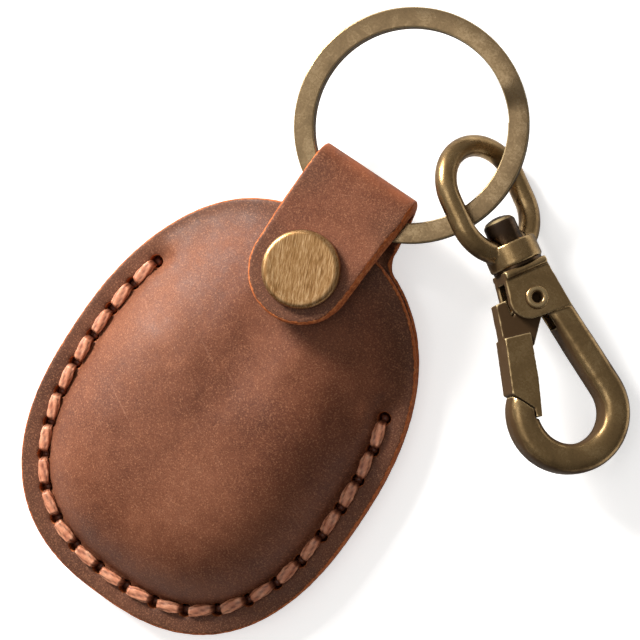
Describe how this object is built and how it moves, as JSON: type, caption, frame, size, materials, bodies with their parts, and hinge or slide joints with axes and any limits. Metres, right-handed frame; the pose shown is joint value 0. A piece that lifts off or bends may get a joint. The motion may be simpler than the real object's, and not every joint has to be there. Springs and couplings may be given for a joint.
{
  "type": "leather tracker tag holder",
  "caption": "Stitched leather pouch for a round tracker tag, with a snap strap, a flat split key ring and a swivel trigger hook.",
  "frame": {"origin": "middle of the pouch's flat back face, on the surface it lies on", "axes": "+Z out of the pouch's domed front, +Y up the pouch towards the key ring, +X to the side where the hook hangs"},
  "size_m": [0.068, 0.0889, 0.0142],
  "materials": {
    "brown_leather": "vegetable tanned, smooth grain, raw orange brown edges",
    "waxed_thread": "flat braided, waxed",
    "brushed_brass": "brushed",
    "antique_brass": "antique, dark in the recesses",
    "dark_brass": "blackened",
    "spring_steel": "plain"
  },
  "bodies": {
    "pouch": {"back_panel": "brown_leather", "front_panel": "brown_leather", "seam_thread": "waxed_thread", "strap_fold": "brown_leather", "snap_stud": "antique_brass", "snap_post": "antique_brass"},
    "flap": {"strap_flap": "brown_leather", "snap_cap": "brushed_brass", "snap_socket": "antique_brass", "socket_spring": "spring_steel"},
    "ring": {"split_ring": "antique_brass"},
    "eye": {"swivel_eye": "antique_brass"},
    "hook": {"hook_body": "antique_brass", "swivel_pin": "dark_brass", "gate_rivet": "antique_brass", "gate_spring": "spring_steel"},
    "gate": {"gate": "antique_brass"}
  },
  "joints": [
    {"name": "strap_open", "type": "hinge", "parent": "pouch", "child": "flap", "pos_m": [0, 0.0342, 0.0064], "axis": [-1, 0, 0], "range_deg": [0, 90], "deforming": ["strap_fold", "socket_spring"]},
    {"name": "ring_swing", "type": "hinge", "parent": "pouch", "child": "ring", "pos_m": [0, 0.0342, 0.0064], "axis": [1, 0, 0], "range_deg": [-20, 20], "deforming": ["strap_fold"]},
    {"name": "eye_slide", "type": "hinge", "parent": "ring", "child": "eye", "pos_m": [0.00049, 0.04492, 0.0064], "axis": [0, 0, 1], "range_deg": [0, 150]},
    {"name": "hook_swivel", "type": "hinge", "parent": "eye", "child": "hook", "pos_m": [0.0209, 0.03814, 0.0054], "axis": [-0.8476, 0.5297, 0.0314], "continuous": true},
    {"name": "gate_open", "type": "hinge", "parent": "hook", "child": "gate", "pos_m": [0.02546, 0.03507, 0.0053], "axis": [0.2232, 0.3023, 0.9267], "range_deg": [0, 25], "stiffness_Nm_per_rad": 0.02, "springref_deg": -17.19, "deforming": ["gate_spring"]}
  ]
}
